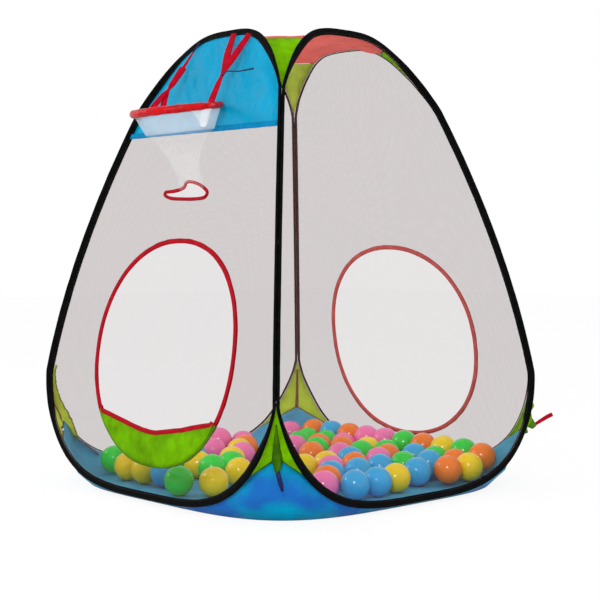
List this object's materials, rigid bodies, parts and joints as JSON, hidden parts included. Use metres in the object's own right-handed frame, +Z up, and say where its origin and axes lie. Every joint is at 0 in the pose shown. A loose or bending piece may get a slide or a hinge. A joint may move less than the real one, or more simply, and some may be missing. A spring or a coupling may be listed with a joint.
{
  "type": "ball pit tent",
  "caption": "Pop-up play tent of four sprung mesh panels round a floor tray, with a crawl-in door, a window, a roof, a ball hoop with a net, and loose play balls.",
  "frame": {"origin": "middle of the floor tray's underside, on the ground", "axes": "+Z up, -Y out of the panel with the door and the hoop, +X to the right seen from the front"},
  "size_m": [0.75, 0.7746, 0.9228],
  "materials": {
    "black_tape": "woven binding tape",
    "spring_steel": "drawn spring wire",
    "crimp_brass": "plain",
    "white_mesh": "fine knitted mesh",
    "cyan_cloth": "coated polyester",
    "blue_cloth": "coated polyester",
    "lime_cloth": "coated polyester",
    "red_cloth": "coated polyester",
    "white_net": "open net",
    "brown_piping": "piping",
    "navy_tape": "woven tape",
    "hoop_plastic": "extruded tube"
  },
  "bodies": {
    "left_side": {"left_frame_wire": "spring_steel", "left_wire_ferrule": "crimp_brass", "left_edge_binding": "black_tape", "left_mesh_panel": "white_mesh", "roof": "red_cloth", "floor_tray": "blue_cloth", "back_left_top_gusset": "lime_cloth", "back_left_bottom_gusset": "lime_cloth", "back_left_corner_hem": "brown_piping", "back_left_tie": "navy_tape", "front_left_top_gusset": "lime_cloth", "front_left_bottom_gusset": "lime_cloth", "front_left_corner_hem": "brown_piping", "front_left_tie": "navy_tape"},
    "front_side": {"front_frame_wire": "spring_steel", "front_wire_ferrule": "crimp_brass", "front_edge_binding": "black_tape", "front_mesh_panel": "white_mesh", "door_binding": "red_cloth", "return_slot_binding": "red_cloth", "door_lip": "lime_cloth", "backboard": "cyan_cloth", "backboard_hem": "cyan_cloth", "front_right_top_gusset": "lime_cloth", "front_right_bottom_gusset": "lime_cloth", "front_right_corner_hem": "brown_piping", "front_right_tie": "navy_tape"},
    "right_side": {"right_frame_wire": "spring_steel", "right_wire_ferrule": "crimp_brass", "right_edge_binding": "black_tape", "right_mesh_panel": "white_mesh"},
    "back_side": {"back_frame_wire": "spring_steel", "back_wire_ferrule": "crimp_brass", "back_edge_binding": "black_tape", "back_mesh_panel": "white_mesh", "window_binding": "red_cloth", "back_right_top_gusset": "lime_cloth", "back_right_bottom_gusset": "lime_cloth", "back_right_corner_hem": "brown_piping", "back_right_tie": "navy_tape"},
    "hoop": {"hoop_ring": "hoop_plastic", "hoop_cover": "red_cloth", "hoop_net": "white_net", "hoop_strap_left": "red_cloth", "hoop_strap_right": "red_cloth"}
  },
  "joints": [
    {"name": "fold_front", "type": "hinge", "parent": "left_side", "child": "front_side", "pos_m": [-0.4219, -0.4219, 0.016], "axis": [-0.2251, -0.2251, -0.948], "range_deg": [0, 88], "stiffness_Nm_per_rad": 4, "deforming": ["front_right_top_gusset", "front_right_bottom_gusset", "front_right_corner_hem", "front_right_tie", "back_right_top_gusset", "back_right_bottom_gusset", "back_right_corner_hem", "back_right_tie", "back_left_top_gusset", "back_left_bottom_gusset", "back_left_corner_hem", "back_left_tie", "front_left_top_gusset", "front_left_bottom_gusset", "front_left_corner_hem", "front_left_tie", "roof", "floor_tray"]},
    {"name": "fold_right", "type": "hinge", "parent": "front_side", "child": "right_side", "pos_m": [0.366, -0.366, 0.016], "axis": [-0.2206, 0.2206, 0.9501], "range_deg": [0, 88], "stiffness_Nm_per_rad": 4},
    {"name": "fold_back", "type": "hinge", "parent": "left_side", "child": "back_side", "pos_m": [-0.366, 0.366, 0.016], "axis": [-0.2206, 0.2206, -0.9501], "range_deg": [0, 88], "stiffness_Nm_per_rad": 4},
    {"name": "hoop_tilt", "type": "hinge", "parent": "front_side", "child": "hoop", "pos_m": [0.022, -0.2274, 0.7663], "axis": [-1, 0, 0], "range_deg": [0, 75], "deforming": ["hoop_net", "hoop_strap_left", "hoop_strap_right"]}
  ],
  "couplings": [
    {"joint": "fold_right", "follows": "fold_front", "ratio": 1},
    {"joint": "fold_back", "follows": "fold_front", "ratio": 1}
  ]
}
